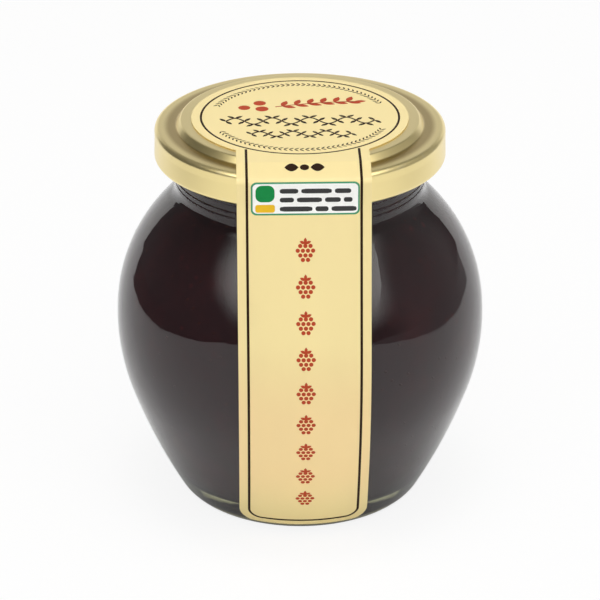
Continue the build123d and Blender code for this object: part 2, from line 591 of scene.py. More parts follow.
def lathe_tree(name):
    """A tree that turns an outline, given as a mesh line in the XZ plane, round the Z axis."""
    tree = Tree(name, Segments="Int", Material="Material")
    count = Number(tree, tree.add("GeometryNodeAttributeDomainSize", None, {
        "Geometry": tree.given("Geometry")}).outputs["Point Count"])
    grid = tree.step("GeometryNodeMeshGrid", None, {
        "Vertices X": tree.asked("Segments") + 1, "Vertices Y": count})
    index = Number(tree, tree.step("GeometryNodeInputIndex"))
    along = index % count
    across = tree.math("FLOOR", (index + 0.5) / count)
    point = tree.step("GeometryNodeSampleIndex", {"data_type": "FLOAT_VECTOR"}, {
        "Geometry": tree.given("Geometry"), "Index": along,
        "Value": tree.step("GeometryNodeInputPosition")})
    radius, _, height = tree.split(point)
    turn = across * (2 * math.pi) / tree.asked("Segments")
    place = tree.join(radius * tree.math("COSINE", turn), radius * tree.math("SINE", turn), height)
    turned = tree.step("GeometryNodeSetPosition", None, {"Geometry": grid, "Position": place})
    joined = tree.step("GeometryNodeMergeByDistance", None, {
        "Geometry": turned, "Distance": NO_DISTANCE})
    return tree.end(joined)


def lathe(name, outline, steps_round, material):
    """Turns an outline, from the axis round to the axis, into a closed piece."""
    points = [(radius, 0.0, height) for radius, height in held(clean(outline))]
    edges = [(i, i + 1) for i in range(len(points) - 1)]
    piece = grow(name, mesh_from(name, points, edges), made_once("Lathe", lathe_tree),
                 Segments=steps_round, Material=material)
    face_outwards(piece.data)
    return piece


def face_outwards(mesh):
    """Turns a closed mesh the right way round if it encloses less than nothing."""
    volume = 0.0
    for polygon in mesh.polygons:
        first, *rest = [mesh.vertices[i].co for i in polygon.vertices]
        for second, third in zip(rest, rest[1:]):
            volume += first.dot(second.cross(third))
    if volume < 0:
        mesh.flip_normals()


def made_once(name, maker):
    """A node tree by name, made the first time it is asked for."""
    return bpy.data.node_groups.get(name) or maker(name)


# ---------------------------------------------------------------------------
# Finishes
# ---------------------------------------------------------------------------


def rgba(colour_value, level=1.0):
    """A colour for a socket, made lighter or darker."""
    return [channel * level for channel in colour_value] + [1.0]


def grey(level):
    """A grey for a socket."""
    return (level, level, level, 1.0)


def glass_finish(glass):
    """Clear pressed glass: faint mould ripple, a little dust and finger marks."""
    finish = Finish("clear glass")
    ripple = finish.noise(70.0, detail=1.0) * 0.75 + finish.noise(260.0, detail=2.0) * 0.25
    smears = finish.between(finish.noise(55.0, detail=5.0, roughness=0.62), 0.55, 0.75)
    specks = finish.between(finish.cells(300.0), 0.035, 0.015)
    haze = finish.between(finish.noise(30.0, detail=2.0), 0.45, 0.7)
    _, _, height = finish.split(finish.place)
    streaks = finish.noise(110.0, stretch=(0.35, 0.35, 6.0))
    thick = finish.between(height, glass.base_thickness * 1.6, glass.base_thickness * 0.7)
    tint = finish.blend(haze, rgba(glass.tint), rgba(glass.tint, 0.985))
    deep = finish.blend(finish.between(streaks, 0.40, 0.62), rgba(glass.thick_tint),
                        rgba(glass.thick_tint, 0.30))
    tint = finish.blend(thick, tint, deep)
    body = finish.shader("BsdfPrincipled", Base_Color=tint, IOR=1.5, Transmission_Weight=1.0,
                         Roughness=smears * 0.030 + specks * haze * 0.2,
                         Normal=finish.bump(ripple, 0.12 * MM))
    open_to_light = finish.shader("BsdfTransparent", Color=rgba(glass.tint, 0.96))
    return finish.end(finish.mix(finish.ray("Shadow"), body, open_to_light))


def jam_finish(jam):
    """Dark berry jam: deep gel with clearer juice, torn fruit and a pulpy surface."""
    finish = Finish("dark berry jam")
    juice = finish.between(finish.noise(95.0, detail=4.0, roughness=0.6), 0.42, 0.80)
    pulp = finish.cells(520.0)
    fruit = finish.between(finish.noise(130.0, roughness=0.55), 0.61, 0.76)
    flecks = finish.between(pulp, 0.48, 0.12) * fruit * 0.6
    colour_now = finish.blend(juice, rgba(jam.deep), rgba(jam.juice))
    colour_now = finish.blend(flecks, colour_now, rgba(jam.fruit))
    height = finish.noise(150.0, detail=1.0) * 0.7 + pulp * 0.3
    return finish.end(finish.shader(
        "BsdfPrincipled", Base_Color=colour_now, Roughness=0.32 + juice * 0.2, IOR=1.12,
        Normal=finish.bump(height, 0.04 * MM)))


def seed_finish(jam):
    """Berry seeds under a film of jam, some paler than others."""
    finish = Finish("berry seed")
    patch = finish.noise(420.0, detail=1.0)
    pits = finish.cells(4200.0)
    colour_now = finish.blend(patch, rgba(jam.deep), rgba(jam.seed))
    return finish.end(finish.shader(
        "BsdfPrincipled", Base_Color=colour_now, Roughness=0.45 + pits * 0.2, IOR=1.12,
        Normal=finish.bump(pits, 0.08 * MM)))


def lid_finish(lid):
    """Satin gold lacquer: orange peel, turned scratches, rubbed edges, painted shade at the step's
    foot.
    """
    finish = Finish("gold lacquer")
    places = LidPlaces(lid)
    rim, skirt, foot, hem_low = places.rim, places.skirt, places.step_foot, LID_LOW.z
    x, y, z = finish.split(finish.place)
    radius = finish.distance(x, y)
    hairlines = finish.noise(5200.0, detail=2.0, where=finish.join(radius, z, 0.0))
    peel = finish.noise(2600.0, detail=1.0)
    cloud = finish.noise(60.0)
    scuffs = finish.between(finish.noise(900.0, detail=5.0, roughness=0.7,
                                         stretch=(1.0, 1.0, 0.12)), 0.62, 0.74)
    near_rim = (finish.between(z, rim - 1.4 * MM, rim)
                * finish.between(radius, skirt - 1.2 * MM, skirt))
    near_hem = finish.between(z, hem_low + 1.2 * MM, hem_low + 0.3 * MM)
    rubbed = (near_rim + near_hem) * finish.between(finish.noise(700.0, detail=4.0), 0.5, 0.68)
    # Painted shade: the rim is painted darker in a ring just outside the foot of the step.
    painted_groove_shade = (finish.between(radius, foot + 2.6 * MM, foot + 1.2 * MM)
              * finish.between(z, rim + 0.30 * MM, rim + 0.05 * MM)
              * finish.between(radius, foot - 0.4 * MM, foot))
    colour_now = finish.blend(cloud * 0.5, rgba(lid.gold), rgba(lid.gold, 0.93))
    colour_now = finish.blend(rubbed * 0.4, colour_now, rgba(lid.worn))
    colour_now = finish.blend(painted_groove_shade * 0.75, colour_now, rgba(lid.painted_groove_shade))
    height = hairlines * 0.35 + peel * 0.65
    return finish.end(finish.shader(
        "BsdfPrincipled", Base_Color=colour_now, Metallic=1.0,
        Roughness=0.31 + cloud * 0.05 + scuffs * 0.08 + rubbed * 0.04,
        Coat_Weight=0.22, Coat_Roughness=0.2, Normal=finish.bump(height, 0.0012 * MM)))


def paper_finish(label):
    """Smooth label paper: fibres, faint mottle, a low sheen and painted light low on the strip."""
    finish = Finish("cream label paper")
    pattern = finish.add("ShaderNodeUVMap", {"uv_map": PATTERN}).outputs[0]
    fibres = finish.noise(420.0, detail=4.0, roughness=0.65, where=pattern, stretch=(1.0, 3.2, 1.0))
    mottle = finish.noise(9.0, where=pattern)
    grain = finish.noise(1500.0, detail=1.0, where=pattern)
    # Runs down the strip, in millimetres, between which the paper is painted warmer: painted light,
    # for how the lower strip is lit.
    _, down, _ = finish.split(pattern)
    starts, full, fades, ends = [
        pattern_uv(0.0, -run * MM)[1] for run in (57.0, 76.0, 88.0, 103.0)]
    low = finish.between(down, starts, full) * finish.between(down, ends, fades)
    cream = finish.blend(low, rgba(label.cream), rgba(label.painted_low_strip_light))
    shade = 0.97 + mottle * 0.05 - finish.between(fibres, 0.60, 0.80) * 0.035
    return finish.end(finish.shader(
        "BsdfPrincipled", Base_Color=finish.scaled(cream, shade),
        Roughness=0.42 + fibres * 0.12, Specular_IOR_Level=0.42,
        Normal=finish.bump(fibres * 0.6 + grain * 0.4, 0.003 * MM)))


def ink_finish(name, ink):
    """Printed ink: a little uneven, with the paper's grain showing through."""
    finish = Finish(name)
    cover = finish.noise(1400.0, roughness=0.6)
    patch = finish.noise(160.0, detail=2.0)
    colour_now = finish.blend(cover, rgba(ink, 0.90), rgba(ink, 1.06))
    colour_now = finish.blend(patch * 0.25, colour_now, rgba(ink, 0.94))
    return finish.end(finish.shader(
        "BsdfPrincipled", Base_Color=colour_now, Roughness=0.50 + cover * 0.14,
        Specular_IOR_Level=0.12, Normal=finish.bump(cover, 0.003 * MM)))


# ---------------------------------------------------------------------------
# The label: how a flat pattern lies on the lid and the glass
# ---------------------------------------------------------------------------

PATTERN = "pattern"
PATTERN_SIZE = (60.0 * MM, 150.0 * MM)
PATTERN_MIDDLE = (0.0, -45.0 * MM)


def pattern_uv(x, y):
    """Where a point of the flat pattern lies in its UV map."""
    return (0.5 + (x - PATTERN_MIDDLE[0]) / PATTERN_SIZE[0],
            0.5 + (y - PATTERN_MIDDLE[1]) / PATTERN_SIZE[1])


def tangent_turn(first, second):
    """Direction away from both circles of the line laid over them, in radians."""
    (start, start_radius), (end, end_radius) = first, second
    gap = end[0] - start[0], end[1] - start[1]
    return (math.atan2(gap[1], gap[0])
            + math.acos((start_radius - end_radius) / math.hypot(*gap)))


class PaperPath:
    """The line that the middle of the strip follows, from behind the disc to the heel."""

    def __init__(self, glass, lid, label):
        self.label = label
        self.lift = label.glue + label.paper
        places = LidPlaces(lid)
        heel, flank, belly, shoulder, _ = body_arcs(glass)
        circles = [
            (places.panel_bend, lid.step_round),
            (places.rim_bend, lid.rim_round + lid.hem_proud),
            (places.hem, lid.hem_radius),
        ]
        turns = [math.pi / 2] + [tangent_turn(*pair) for pair in zip(circles, circles[1:])]
        outline = [(-label.disc_radius, places.top + self.lift)]
        for (centre, radius), start, end in zip(circles, turns, turns[1:]):
            outline += sweep(centre, radius + self.lift, start, end, math.radians(7.0))
        middle, shoulder_round, shoulder_foot, _ = shoulder
        above_hem = 0.4 * MM
        leave = (places.radius + self.lift, places.hem[1] + above_hem)
        land_turn = tangent_turn(circles[2], (middle, shoulder_round))
        reach = shoulder_round + self.lift
        land = (middle[0] + reach * math.cos(land_turn), middle[1] + reach * math.sin(land_turn))
        outline += soft_corner(outline[-1], leave, land, label.paper_bend)
        self.land = land
        self.hang_top = leave[1]
        outline += sweep(middle, reach, land_turn, shoulder_foot)
        for centre, bend, first, last in (belly, flank, heel):
            outline += sweep(centre, bend + self.lift, last, first)
        self.points = self.measured(clean(outline))

    def measured(self, outline):
        """The outline down to the strip's lower edge, each point with its run along the paper.

        The run is measured from the middle of the disc. Long steps are divided.
        """
        longest = 1.0 * MM
        points = []
        run = -self.label.disc_radius
        for index, (out, height) in enumerate(outline):
            if index:
                last_out, last_height = outline[index - 1]
                step = math.dist((out, height), (last_out, last_height))
                if height < self.label.strip_bottom:
                    share = (last_height - self.label.strip_bottom) / (last_height - height)
                    points.append((run + step * share, last_out + (out - last_out) * share,
                                   self.label.strip_bottom))
                    return points
                pieces = max(1, math.ceil(step / longest))
                for part in range(1, pieces):
                    share = part / pieces
                    points.append((run + step * share, last_out + (out - last_out) * share,
                                   last_height + (height - last_height) * share))
                run += step
            points.append((run, out, height))
        return points

    def half_width(self, run, height):
        """Half the paper's width at a distance from the disc's middle."""
        label = self.label
        half = label.strip_width / 2
        join = math.sqrt(label.disc_radius**2 - half**2)
        if run <= join:
            return math.sqrt(max(label.disc_radius**2 - run**2, 0.0))
        left = height - label.strip_bottom
        if left < label.strip_corner:
            corner = label.strip_corner
            return half - corner + math.sqrt(max(corner**2 - (corner - left) ** 2, 0.0))
        return half

    def place(self, x, out, height):
        """Where the paper is, a distance x to the side of the middle line."""
        share = (self.hang_top - height) / (self.hang_top - self.land[1])
        if share <= 0:
            sideways = out
        elif share < 1:
            radius = self.land[0]
            sideways = out - share * (radius - math.sqrt(radius**2 - x**2))
        else:
            sideways = math.sqrt(out**2 - x**2)
        return Matrix.Rotation(self.label.turn, 3, "Z") @ Vector((x, -sideways, height))


def soft_corner(start, corner, end, bend):
    """A bend of the given radius where two straight runs meet."""
    start, corner, end = Vector(start), Vector(corner), Vector(end)
    into, away = corner - start, end - corner
    cut = min(bend * math.tan(into.angle(away) / 2), into.length * 0.95)
    first = corner - into.normalized() * cut
    last = corner + away.normalized() * cut
    points = []
    steps = 6
    for i in range(steps + 1):
        t = i / steps
        points.append(tuple(first * (1 - t) ** 2 + corner * 2 * t * (1 - t) + last * t**2))
    return points


def paper_sheet(path):
    """The outer face of the label, with the flat pattern as its UV map."""
    columns, disc_steps, clear_of_join = 40, 72, 0.05 * MM
    radius = path.label.disc_radius
    join = math.sqrt(radius**2 - (path.label.strip_width / 2) ** 2)
    disc_top = path.points[0][2]
    last_turn = math.acos(-join / radius)
    runs = [-radius * math.cos(last_turn * i / disc_steps) for i in range(1, disc_steps + 1)]
    rows = [(run, run, disc_top) for run in runs]
    rows += [point for point in path.points if point[0] > join + clear_of_join]
    points, uvs = [], []
    for run, out, height in rows:
        half = path.half_width(run, height)
        for column in range(columns + 1):
            x = half * (2 * column / columns - 1)
            points.append(path.place(x, out, height))
            uvs.append(pattern_uv(x, -run))
    faces = []
    for row in range(len(rows) - 1):
        for column in range(columns):
            a = row * (columns + 1) + column
            b = a + columns + 1
            faces.append((a, b, b + 1, a + 1))
    start = len(points)
    points.append(path.place(0.0, -radius, disc_top))
    uvs.append(pattern_uv(0.0, radius))
    faces += [(start, column, column + 1) for column in range(columns)]
    mesh = mesh_from("label_paper", points, (), faces)
    layer = mesh.uv_layers.new(name=PATTERN)
    for loop in mesh.loops:
        layer.data[loop.index].uv = uvs[loop.vertex_index]
    return mesh


def print_tree(name, **inputs):
    """A new tree for a print, with the inputs that every print has."""
    return Tree(name, Thickness="Float", Paper="Object", Material="Material", **inputs)


def wrapped(tree, geometry):
    """Closes a print's tree: the flat print lies on the paper, X and Y along it and Z off it."""
    flat = tree.step("GeometryNodeRealizeInstances", None, {"Geometry": geometry})
    sheet = tree.add("GeometryNodeObjectInfo", None, {"Object": tree.given("Paper")})
    x, y, z = tree.split(tree.step("GeometryNodeInputPosition"))
    spot = tree.join(*pattern_uv(x, y), 0.0)
    pattern = tree.step("GeometryNodeInputNamedAttribute", {"data_type": "FLOAT_VECTOR"},
                        {"Name": PATTERN})

    def on_paper(value):
        return tree.step("GeometryNodeSampleUVSurface", {"data_type": "FLOAT_VECTOR"}, {
            "Mesh": sheet.outputs["Geometry"], "Value": value, "UV Map": pattern,
            "Sample UV": spot})

    surface = on_paper(tree.step("GeometryNodeInputPosition"))
    up = on_paper(tree.step("GeometryNodeInputNormal"))
    place = tree.step("ShaderNodeVectorMath", {"operation": "ADD"},
                      {0: surface, 1: tree.scaled(up, z)})
    return tree.end(tree.step("GeometryNodeSetPosition", None, {
        "Geometry": flat, "Position": place}))


def printed(name, mesh, tree, material, **values):
    """Runs a print's tree and makes the result part of the label."""
    values.setdefault("Thickness", bpy.context.scene.jar_label.ink)
    piece = grow(name, mesh, tree, Paper=bpy.data.objects["paper_face"], Material=material,
                 **values)
    face_outwards(piece.data)
    attach(piece, "label")


def flat_points(name, rows, *columns):
    """A mesh of loose flat points: each row has x, y and a number for each column."""
    mesh = mesh_from(name, [(x, y, 0.0) for x, y, *_ in rows])
    for index, column in enumerate(columns, 2):
        numbers = mesh.attributes.new(column, "FLOAT", "POINT").data
        for item, row in zip(numbers, rows):
            item.value = row[index]
    return mesh


def line_tree(name):
    """A tree that draws a printed line along the mesh line it is given."""
    tree = print_tree(name, Width="Float", Corner="Float", Spacing="Float")
    curve = tree.step("GeometryNodeMeshToCurve", None, {"Mesh": tree.given("Geometry")})
    rounded = tree.step("GeometryNodeFilletCurve", {"mode": "POLY"}, {
        "Curve": curve, "Radius": tree.given("Corner"), "Limit Radius": True, "Count": 12})
    spaced = tree.step("GeometryNodeResampleCurve", {"mode": "LENGTH"}, {
        "Curve": rounded, "Length": tree.given("Spacing")})
    upright = tree.step("GeometryNodeSetCurveNormal", {"mode": "Z_UP"}, {"Curve": spaced})
    section = tree.step("GeometryNodeCurvePrimitiveQuadrilateral", None, {
        "Width": tree.given("Width"), "Height": tree.asked("Thickness") * 2})
    return wrapped(tree, tree.step("GeometryNodeCurveToMesh", None, {
        "Curve": upright, "Profile Curve": section, "Fill Caps": True}))


def printed_line(name, points, width, material, corner=0.0, closed=False, spacing=0.15 * MM):
    """A printed line through flat points."""
    edges = [(i, i + 1) for i in range(len(points) - 1)]
    if closed:
        edges.append((len(points) - 1, 0))
    mesh = mesh_from(name, [(x, y, 0.0) for x, y in points], edges)
    printed(name, mesh, made_once("Printed line", line_tree), material, Width=width,
            Corner=corner, Spacing=spacing)


def plate_tree(name):
    """A tree that prints a plate with rounded corners round each point it is given."""
    tree = print_tree(name, Width="Float", Height="Float", Corner="Float", Across="Int",
                      Along="Int")
    half = tree.asked("Width") / 2, tree.asked("Height") / 2
    corner = tree.asked("Corner")
    size = tree.join(tree.given("Width"), tree.given("Height"), tree.asked("Thickness") * 2)
    block = tree.step("GeometryNodeMeshCube", None, {
        "Size": size, "Vertices X": tree.given("Across"), "Vertices Y": tree.given("Along")})
    x, y, z = tree.split(tree.step("GeometryNodeInputPosition"))
    core, rest = [], []
    for value, limit in zip((x, y), half):
        inner = tree.math("MAXIMUM", tree.math("MINIMUM", value, limit - corner), corner - limit)
        core.append(inner)
        rest.append((value - inner) / corner)
    pulled = [inner + corner * one * tree.math("SQRT", 1 - other * other * 0.5)
              for inner, one, other in zip(core, rest, reversed(rest))]
    return wrapped(tree, tree.copies(tree.step("GeometryNodeSetPosition", None, {
        "Geometry": block, "Position": tree.join(*pulled, z)})))


def printed_plate(name, centre, size, corner, material, layers, steps):
    """A printed plate with rounded corners, some layers of ink thick."""
    printed(name, flat_points(name, [centre]), made_once("Printed plate", plate_tree), material,
            Width=size[0], Height=size[1], Corner=corner, Across=steps[0], Along=steps[1],
            Thickness=bpy.context.scene.jar_label.ink * layers)


def ink_disc(tree, sides, rings):
    """A flat disc of radius 1, to be sized and shaped. Half its thickness is in the paper."""
    return tree.step("GeometryNodeMeshCylinder", {"fill_type": "TRIANGLE_FAN"}, {
        "Vertices": sides, "Side Segments": 1, "Fill Segments": rings, "Radius": 1.0,
        "Depth": tree.asked("Thickness") * 2})


def dot_tree(name):
    """A tree that prints a dot at each point it is given, sized by the point's number."""
    tree = print_tree(name, Sides="Int")
    size = tree.stored("size")
    return wrapped(tree, tree.copies(ink_disc(tree, tree.given("Sides"), 2),
                                     Scale=tree.join(size, size, 1.0)))


def printed_dots(name, dots, material, sides):
    """Printed dots, each a flat centre and a radius."""
    printed(name, flat_points(name, dots, "size"), made_once("Printed dots", dot_tree), material,
            Sides=sides)


def leaf_tree(name):
    """A tree that prints a leaf at each point it is given, with its own length and turn."""
    tree = print_tree(name, Slimness="Float")
    x, y, z = tree.split(tree.step("GeometryNodeInputPosition"))
    pinch = tree.math("SQRT", tree.math("MAXIMUM", 1 - x * x, 0.0)) * tree.asked("Slimness")
    leaf = tree.step("GeometryNodeSetPosition", None, {
        "Geometry": ink_disc(tree, 24, 3),
        "Position": tree.join((x + 1) * 0.5, y * pinch * 0.5, z)})
    size = tree.stored("size")
    turn = tree.join(0.0, 0.0, tree.stored("turn"))
    return wrapped(tree, tree.copies(
        leaf, Rotation=tree.step("FunctionNodeEulerToRotation", None, {0: turn}),
        Scale=tree.join(size, size, 1.0)))


def printed_leaves(name, leaves, material, slimness):
    """Printed leaves, each a flat foot, a length and a turn in degrees."""
    rows = [(x, y, size, math.radians(turn)) for x, y, size, turn in leaves]
    printed(name, flat_points(name, rows, "size", "turn"), made_once("Printed leaves", leaf_tree),
            material, Slimness=slimness)


# ---------------------------------------------------------------------------
# Operators
# ---------------------------------------------------------------------------


class JAMJAR_OT_glass(bpy.types.Operator):
    """Make the glass jar"""

    bl_idname = "jam_jar.glass"
    bl_label = "Glass Jar"

    def execute(self, context):
        glass = context.scene.jar_glass
        lip = glass.lip_round
        bore = glass.neck_radius - glass.wall
        outline = outside_outline(glass, MOUTH)
        outline += sweep((bore + lip, MOUTH - lip), lip, math.pi / 2, math.pi,
                         math.radians(15.0))
        outline += inside_outline(glass, 0.0, MOUTH - lip)[::-1]
        piece = lathe("jar_glass", outline, glass.steps_round, glass_finish(glass))
        smooth(piece.data, 30.0)
        attach(piece, "glass", "jar")
        return {"FINISHED"}


class JAMJAR_OT_jam(bpy.types.Operator):
    """Fill the jar with jam and set seeds against the glass"""

    bl_idname = "jam_jar.jam"
    bl_label = "Jam and Seeds"

    def execute(self, context):
        glass, jam = context.scene.jar_glass, context.scene.jar_jam
        # The jam creeps up the glass and dips inside, and its seeds stay clear of its top.
        creep, dip, middle_dip, seed_free = 1.2 * MM, 1.25 * MM, 1.1 * MM, 3.0 * MM
        outline = inside_outline(glass, jam.wetting, JAM_LEVEL)
        edge, _ = outline.pop()
        outline += sweep((edge - creep, JAM_LEVEL), creep, 0.0, -math.pi / 2, math.radians(15.0))
        outline += [(edge * 0.5, JAM_LEVEL - dip), (0.0, JAM_LEVEL - middle_dip)]
        piece = lathe("jam_fill", outline, jam.steps_round, jam_finish(jam))
        smooth(piece.data, 40.0)
        attach(piece, "jam", "jam")
        seeds = grow("jam_seeds", piece.data.copy(), seed_tree("Seeds"),
                     Density=jam.seed_density, Size=jam.seed_size, Seed=11,
                     Top=JAM_LEVEL - seed_free, Material=seed_finish(jam))
        seeds.data.shade_smooth()
        attach(seeds, "jam")
        return {"FINISHED"}


def seed_tree(name):
    """A tree that scatters seeds over the jam's wall, half sunk and each turned its own way."""
    tree = Tree(name, Density="Float", Size="Float", Seed="Int", Top="Float",
                Material="Material")
    _, _, height = tree.split(tree.step("GeometryNodeInputPosition"))
    spread = tree.add("GeometryNodeDistributePointsOnFaces", {"distribute_method": "POISSON"}, {
        "Mesh": tree.given("Geometry"), "Selection": height < tree.asked("Top"),
        "Distance Min": 2.0 * MM, "Density Max": tree.given("Density"), "Seed": tree.given("Seed")})
    seed = tree.step("GeometryNodeMeshIcoSphere", None, {"Radius": 0.5, "Subdivisions": 3})

    def draw(low, high, number):
        return Number(tree, tree.step("FunctionNodeRandomValue", {"data_type": "FLOAT"}, {
            2: low, 3: high, "Seed": number}))

    spin = draw(0.0, 2 * math.pi, 5)
    reach = tree.asked("Size") * draw(0.7, 1.15, 9)
    width, thickness = 0.6, 0.13
    facing = tree.step("FunctionNodeAlignRotationToVector", {"axis": "Z"}, {
        "Vector": spread.outputs["Normal"]})
    turned = tree.step("FunctionNodeRotateRotation", {"rotation_space": "LOCAL"}, {
        "Rotation": facing,
        "Rotate By": tree.step("FunctionNodeEulerToRotation", None, {
            0: tree.join(0.0, 0.0, spin)})})
    seeds = tree.step("GeometryNodeInstanceOnPoints", None, {
        "Points": spread.outputs["Points"], "Instance": seed, "Rotation": turned,
        "Scale": tree.join(reach, reach * width, reach * thickness)})
    return tree.end(seeds)


class JAMJAR_OT_lid(bpy.types.Operator):
    """Press the lid from one sheet and roll its hem"""

    bl_idname = "jam_jar.lid"
    bl_label = "Lid"

    def execute(self, context):
        lid = context.scene.jar_lid
        places = LidPlaces(lid)
        up, down = math.pi / 2, math.pi * 1.5
        bends = [
            (places.panel_bend, lid.step_round, up, up - places.slope),
            (places.foot_bend, -lid.step_round, down - places.slope, down),
            (places.rim_bend, lid.rim_round, up, 0.0),
        ]
        fine = math.radians(7.0)
        outline, inside = [(0.0, places.top)], [(0.0, places.top - lid.sheet)]
        for centre, bend, first, last in bends:
            outline += sweep(centre, abs(bend), first, last, fine)
            inside += sweep(centre, abs(bend - lid.sheet), first, last, fine)
        # The skirt spreads out over its last stretch and runs smoothly into the hem.
        spread_height, spread_turn = 3.2 * MM, math.radians(2.0)
        hem = places.hem
        meets = math.acos((places.skirt - lid.sheet - hem[0]) / lid.hem_radius)
        outline.append((places.skirt, hem[1] + spread_height))
        outline += sweep(hem, lid.hem_radius, spread_turn, meets - 2 * math.pi,
                         math.radians(10.0))
        piece = lathe("lid_gold", outline + inside[::-1], lid.steps_round, lid_finish(lid))
        smooth(piece.data, 28.0)
        attach(piece, "lid", "lid")
        return {"FINISHED"}


class JAMJAR_OT_paper(bpy.types.Operator):
    """Cut the label and lay it over the lid and down the front"""

    bl_idname = "jam_jar.paper"
    bl_label = "Label Paper"

    def execute(self, context):
        scene = context.scene
        label = scene.jar_label
        path = PaperPath(scene.jar_glass, scene.jar_lid, label)
        sheet = paper_sheet(path)
        put_in_scene("paper_face", sheet)
        piece = put_in_scene("label_paper", sheet.copy())
        piece.data.materials.append(paper_finish(label))
        thickness = piece.modifiers.new("Thickness", "SOLIDIFY")
        thickness.thickness = label.paper
        thickness.offset = -1.0
        thickness.use_even_offset = True
        settle(piece, thickness)
        smooth(piece.data, 35.0)
        attach(piece, "label", "label")
        scene["strip_length"] = path.points[-1][0]
        return {"FINISHED"}


class JAMJAR_OT_lines(bpy.types.Operator):
    """Print the ring on the lid and the line round the strip"""

    bl_idname = "jam_jar.lines"
    bl_label = "Ring and Border"

    def execute(self, context):
        label = context.scene.jar_label
        brown = ink_finish("dark brown ink", label.line)
        turns, corner, clear_of_ring = 120, 2.4 * MM, 0.55 * MM
        ring = [(label.ring_radius * math.cos(2 * math.pi * i / turns),
                 label.ring_radius * math.sin(2 * math.pi * i / turns)) for i in range(turns)]
        printed_line("print_ring", ring, label.ring_line, brown, closed=True, spacing=0.5 * MM)
        half = label.strip_width / 2 - label.border_inset
        top = -math.sqrt((label.ring_radius + clear_of_ring) ** 2 - half**2)
        bottom = -(context.scene["strip_length"] - label.border_inset * 0.8)
        border = [(-half, top), (-half, bottom), (half, bottom), (half, top)]
        printed_line("print_border", border, label.border_line, brown, corner=corner)
        return {"FINISHED"}


class JAMJAR_OT_disc_print(bpy.types.Operator):
    """Print the disc: a wreath inside the ring, a sprig with berries, and two leafy vines"""

    bl_idname = "jam_jar.disc_print"
    bl_label = "Disc Print"

    def execute(self, context):
        label = context.scene.jar_label
        brown = ink_finish("brown disc ink", label.line)
        self.wreath(brown)
        self.sprig(ink_finish("rust disc ink", label.rust))
        self.vine("print_vine_long", brown, height=-2.3, half=14.2, swing=1.5, waves=4,
                  leaf=1.9 * MM)
        self.vine("print_vine_short", brown, height=-8.9, half=9.4, swing=1.15, waves=3,
                  leaf=1.6 * MM)
        return {"FINISHED"}

    def wreath(self, ink):
        """Pairs of small leaves on two arcs inside the ring."""
        radius, leaf, leans = 16.8 * MM, 1.1 * MM, (40, -40)
        leaves = []
        for start, end, count in ((22.0, 158.0, 40), (206.0, 334.0, 38)):
            for i in range(count):
                around = start + (end - start) * i / (count - 1)
                turn = math.radians(around)
                for lean in leans:
                    leaves.append((radius * math.cos(turn), radius * math.sin(turn), leaf,
                                   around + 90 + lean))
        printed_leaves("print_wreath", leaves, ink, slimness=0.30)

    def sprig(self, ink):
        """Three berries beside a bowed stem with leaves."""
        berries = [(-10.6, 4.7, 1.15), (-7.6, 7.0, 1.2), (-7.2, 4.0, 1.25)]
        printed_dots("print_berries", [(x * MM, y * MM, r * MM) for x, y, r in berries], ink,
                     sides=28)
        start, reach, steps, slope = -4.6, 15.2, 24, 12
        stem, leaves = [], []
        for i in range(steps + 1):
            x = start + reach * i / steps
            along = x - start
            stem.append((x * MM, (5.0 + 0.30 * along - 0.0092 * along**2) * MM))
            if i % 4 == 2:
                leaves += [(*stem[-1], 2.8 * MM, slope + lean) for lean in (58, -30)]
        leaves.append((*stem[-1], 2.4 * MM, 4))
        printed_line("print_stem", stem, 0.34 * MM, ink)
        printed_leaves("print_leaves", leaves, ink, slimness=0.44)

    def vine(self, name, ink, height, half, swing, waves, leaf):
        """A waving stem with two leaves on the outside of every bend and two at each crossing."""
        wave = 24
        leaf_turns = {0: (128, -52), 6: (40, 140), 12: (-128, 52), 18: (-140, -40)}
        steps = waves * wave
        stem, leaves = [], []
        for i in range(steps + 1):
            x = -half + 2 * half * i / steps
            sway = swing * math.sin(2 * math.pi * waves * i / steps)
            stem.append((x * MM, (height + sway) * MM))
            leaves += [(*stem[-1], leaf, turn) for turn in leaf_turns.get(i % wave, ())]
        printed_line(name, stem, 0.40 * MM, ink)
        printed_leaves(name + "_leaves", leaves, ink, slimness=0.38)


class JAMJAR_OT_panel_print(bpy.types.Operator):
    """Print the small white panel with its green field, its amber bar and its rows of grey"""

    bl_idname = "jam_jar.panel_print"
    bl_label = "Panel Print"

    def execute(self, context):
        label = context.scene.jar_label
        x, y = 0.20 * MM, -31.6 * MM
        width, height, edge = 20.0 * MM, 6.4 * MM, 0.32 * MM
        left = x - width / 2
        printed_plate("print_panel_edge", (x, y), (width, height), 1.0 * MM,
                      ink_finish("panel green ink", label.frame_green), 1.5, (44, 48))
        printed_plate("print_panel", (x, y), (width - edge * 2, height - edge * 2), 0.80 * MM,
                      ink_finish("white ink", label.white), 2.5, (44, 48))
        field_x = left + 2.6 * MM
        printed_plate("print_panel_field", (field_x, y + 0.95 * MM), (3.5 * MM, 3.3 * MM),
                      1.2 * MM, ink_finish("green ink", label.green), 3, (14, 14))
        printed_plate("print_panel_bar", (field_x, y - 1.95 * MM), (3.6 * MM, 1.5 * MM),
                      0.4 * MM, ink_finish("amber ink", label.amber), 3.5, (12, 6))
        self.rows(left + 5.3 * MM, y, ink_finish("grey ink", label.grey))
        return {"FINISHED"}

    def rows(self, left, middle, ink):
        """Three rows of bars, each row with its height over the middle and its bars' widths."""
        bar_height, bar_corner, gap = 0.92 * MM, 0.4 * MM, 0.55 * MM
        rows = ((1.45, (3.4, 5.6, 3.0)), (-0.30, (2.6, 4.6, 2.9, 1.6)), (-2.05, (6.0, 2.4, 4.6)))
        for number, (height, bars) in enumerate(rows):
            x = left
            for part, bar in enumerate(bars):
                width = bar * MM
                printed_plate("print_row_%d_%d" % (number, part),
                              (x + width / 2, middle + height * MM), (width, bar_height),
                              bar_corner, ink, 3.5, (8, 5))
                x += width + gap


